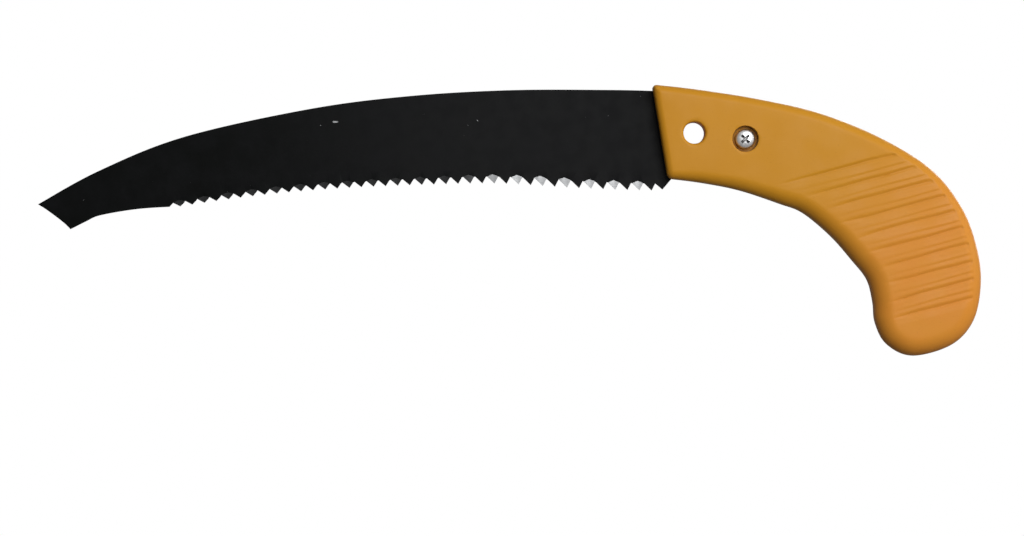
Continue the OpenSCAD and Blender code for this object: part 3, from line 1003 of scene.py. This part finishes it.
def lock_washer(material):
    """A split spring washer: a square section wound nearly once round, with slanting ends."""
    low, high = node_box("screw_lock_washer")
    rise = 0.22
    section = rounded_ring(2.6, high[0] - 0.02, low[2] + rise / 2, high[2] - rise / 2, 0.1)
    gap = math.radians(5)
    rings = []
    for t in np.linspace(0, 1, 90):
        angle = gap + (2 * math.pi - 2 * gap) * t
        ring = []
        for r, z in section:
            slant = (z - (low[2] + high[2]) / 2) * 0.5 / r * (1 if t in (0, 1) else 0.98)
            a = angle + slant
            ring.append((r * math.cos(a), r * math.sin(a), z + rise * (t - 0.5)))
        rings.append(ring)
    made = skin("split_lock_washer", rings)
    return finish_piece(made, "lock_washer", ["screw_lock_washer"], "washer_steel", material)


def dowel(material):
    low, high = node_box("stop_pin")
    radius = (high[0] - low[0]) / 2
    ends = 0.35
    profile = [(0, low[2]), (radius - ends, low[2]), (radius, low[2] + ends),
               (radius, high[2] - ends), (radius - ends, high[2]), (0, high[2])]
    made = lathe("chamfered_stop_pin", profile, node_centre("stop_pin"), 64)
    return finish_piece(made, "handle", ["stop_pin"], "washer_steel", material)


# --- Building it ----------------------------------------------------------------------------

plastic = handle_plastic()
zinc = turned_metal("screw_steel", srgb(238, 238, 238), srgb(206, 206, 207), 0.28, 0.42)
spring_steel = turned_metal("washer_steel", srgb(150, 150, 153), srgb(110, 110, 114), 0.35, 0.5)
dull_zinc = turned_metal("grip_screw_steel", srgb(160, 160, 162), srgb(118, 118, 122), 0.3, 0.45)
white_nylon = nylon()

handle = HandleShape()
shell("front_shell_moulding", "front_handle_shell", handle, 1, plastic)
shell("back_shell_moulding", "back_handle_shell", handle, -1, plastic)
blade(blade_steel())
screw("pivot_screw_threaded", "pivot_screw", "screw", "screw_steel", zinc, (0, 0), 1, 8.6,
      4.75, 2.8, 2.4, 2.0, 0.8, 15.6, 0.8, (5.3, 1.35, 2.0))
for number, node in enumerate(GRIP_SCREWS):
    screw(node + "_threaded", node, "handle", "grip_screw_steel", dull_zinc, node_centre(node), -1,
          -7.0, 3.2, 2.2, 1.45, 1.05, 1.2, 16.0, 1.6, (3.9, 0.85, 1.3))
sleeve_nut(zinc)
lock_washer(spring_steel)
dowel(spring_steel)
friction_washer("front_nylon_washer", "front_friction_washer", white_nylon)
friction_washer("back_nylon_washer", "back_friction_washer", white_nylon)


# --- Stage, light and camera ----------------------------------------------------------------

CENTRE = (Vector(CAD_BOX[0]) + Vector(CAD_BOX[1])) / 2
WIDTH = CAD_BOX[1].x - CAD_BOX[0].x
FLOOR_R = 6.0
FLOOR_CLEARANCE = 0.01
SHEEN = 0.22


def floor():
    """A pale disc below the swung blade. It fades to the white of the backdrop further out."""
    reach = math.hypot(CAD_BOX[0].x - PIVOT[0], CAD_BOX[0].z - PIVOT[2])
    level = PIVOT[2] - reach - FLOOR_CLEARANCE
    ring = [(FLOOR_R * math.cos(a) + CENTRE.x, FLOOR_R * math.sin(a), level)
            for a in np.linspace(0, 2 * math.pi, 96, endpoint=False)]
    data = bpy.data.meshes.new("floor")
    data.from_pydata(ring, [], [tuple(range(96))])
    obj = bpy.data.objects.new("floor", data)
    bpy.context.scene.collection.objects.link(obj)
    s = Shader("pale_floor")
    out = s.add("ShaderNodeVectorMath", {0: s.place, 1: (CENTRE.x, 0, level)},
                operation="DISTANCE").outputs["Value"]
    fade = s.scaled(out, 0.45, 1.3)
    tone = s.blend(s.scaled(s.noise(60, detail=4), 0.3, 0.7), (0.80, 0.80, 0.79, 1),
                   (0.84, 0.84, 0.835, 1))
    lit = s.add("ShaderNodeBsdfDiffuse", {"Color": tone}).outputs[0]
    pale = s.add("ShaderNodeEmission", {"Color": tone, "Strength": 1.0}).outputs[0]
    matt = s.add("ShaderNodeMixShader", {0: 0.72, 1: lit, 2: pale}).outputs[0]
    white = s.add("ShaderNodeEmission", {"Color": (1, 1, 1, 1), "Strength": 1.0}).outputs[0]
    clear = s.add("ShaderNodeBsdfTransparent").outputs[0]
    faded = s.add("ShaderNodeMixShader", {0: fade, 1: matt, 2: white}).outputs[0]
    below = s.add("ShaderNodeNewGeometry").outputs["Backfacing"]
    sided = s.add("ShaderNodeMixShader", {0: below, 1: faded, 2: clear}).outputs[0]
    s.add("ShaderNodeOutputMaterial", {"Surface": sided})
    data.materials.append(s.material)
    obj.visible_diffuse = False
    obj.visible_glossy = False


def soft_light(name, towards, distance, size, power, colour=(1, 1, 1)):
    """A square soft light, seen from the object in the direction given."""
    data = bpy.data.lights.new(name, "AREA")
    data.size = size
    data.energy = power
    data.color = colour
    obj = bpy.data.objects.new(name, data)
    direction = Vector(towards).normalized()
    obj.location = CENTRE + direction * distance
    obj.rotation_mode = "QUATERNION"
    obj.rotation_quaternion = direction.to_track_quat("Z", "Y")
    bpy.context.scene.collection.objects.link(obj)


def studio_world():
    """White to the camera. As a light it is a soft dome, brighter from the upper right."""
    world = bpy.data.worlds.new("studio")
    bpy.context.scene.world = world
    world.use_nodes = True
    tree = world.node_tree
    tree.nodes.clear()

    def add(kind, sockets=None, **settings):
        node = tree.nodes.new(kind)
        for name, value in settings.items():
            setattr(node, name, value)
        for name, value in (sockets or {}).items():
            if isinstance(value, bpy.types.NodeSocket):
                tree.links.new(value, node.inputs[name])
            else:
                node.inputs[name].default_value = value
        return node

    where = add("ShaderNodeTexCoord").outputs["Generated"]
    lean = add("ShaderNodeVectorMath", {0: where, 1: (0.78, -0.34, 0.50)}, operation="DOT_PRODUCT")
    glow = add("ShaderNodeMapRange", {"Value": lean.outputs["Value"], "From Min": -0.55,
                                      "From Max": 0.95, "To Min": 0.06, "To Max": 0.32})
    path = add("ShaderNodeLightPath").outputs
    sheen = add("ShaderNodeMath", {0: path["Is Glossy Ray"], 1: SHEEN}, operation="MULTIPLY_ADD")
    tree.links.new(glow.outputs[0], sheen.inputs[2])
    dome = add("ShaderNodeBackground", {"Color": (1, 1, 1, 1), "Strength": sheen.outputs[0]})
    white = add("ShaderNodeBackground", {"Color": (1, 1, 1, 1), "Strength": 1.0})
    mixed = add("ShaderNodeMixShader", {0: path["Is Camera Ray"], 1: dome.outputs[0],
                                        2: white.outputs[0]})
    add("ShaderNodeOutputWorld", {"Surface": mixed.outputs[0]})


def camera():
    """Level with the saw and square to it, through a long lens."""
    data = bpy.data.cameras.new("camera")
    data.lens = 200
    data.sensor_width = 36
    data.clip_end = 40
    obj = bpy.data.objects.new("camera", data)
    bpy.context.scene.collection.objects.link(obj)
    field = WIDTH * 1.087
    distance = field * data.lens / data.sensor_width
    obj.location = (CENTRE.x + 0.0014, -distance, CENTRE.z - 0.0229)
    obj.rotation_mode = "XYZ"
    obj.rotation_euler = (math.radians(90), 0, 0)
    bpy.context.scene.camera = obj


floor()
studio_world()
soft_light("key", (0.42, -1.2, 0.38), 1.5, 0.7, 13.8)
soft_light("side", (1.0, -0.30, 0.22), 1.4, 0.5, 3)
soft_light("back_key", (0.5, 1.0, 0.35), 1.6, 1.0, 13)
camera()
bpy.context.scene.view_settings.view_transform = "Standard"
